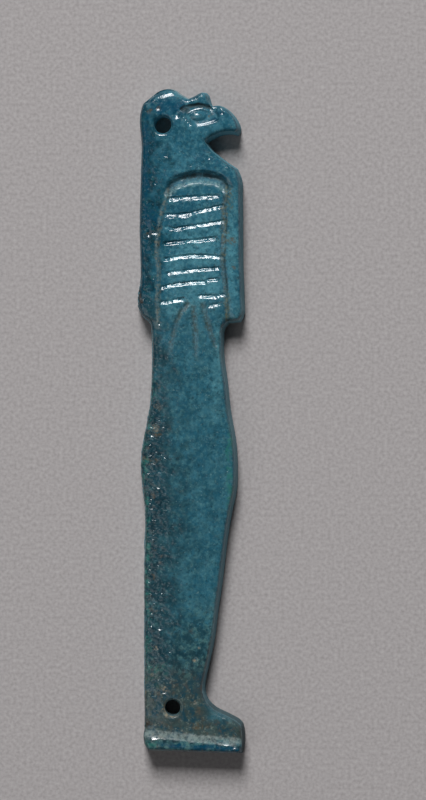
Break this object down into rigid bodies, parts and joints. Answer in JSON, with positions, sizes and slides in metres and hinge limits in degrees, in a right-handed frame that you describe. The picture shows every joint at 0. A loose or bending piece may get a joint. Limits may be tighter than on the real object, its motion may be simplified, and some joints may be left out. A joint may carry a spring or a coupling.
{
  "type": "falcon-headed amulet",
  "caption": "Flat falcon-headed mummy amulet of blue glazed faience, carved in low relief on one side, with a thread hole through the head and another above the feet.",
  "frame": {"origin": "on the flat back, under the middle of the figure's outline", "axes": "+Z out of the carved front, +Y from the sole to the crest, +X the way the falcon looks"},
  "size_m": [0.0113, 0.07, 0.0037],
  "materials": {
    "blue_glazed_faience": "glossy copper-blue alkaline glaze over a sandy quartz body, pooled darker down one side, pitted and worn brown on its high edges"
  },
  "bodies": {
    "root": {"falcon_headed_amulet": "blue_glazed_faience"}
  },
  "joints": []
}
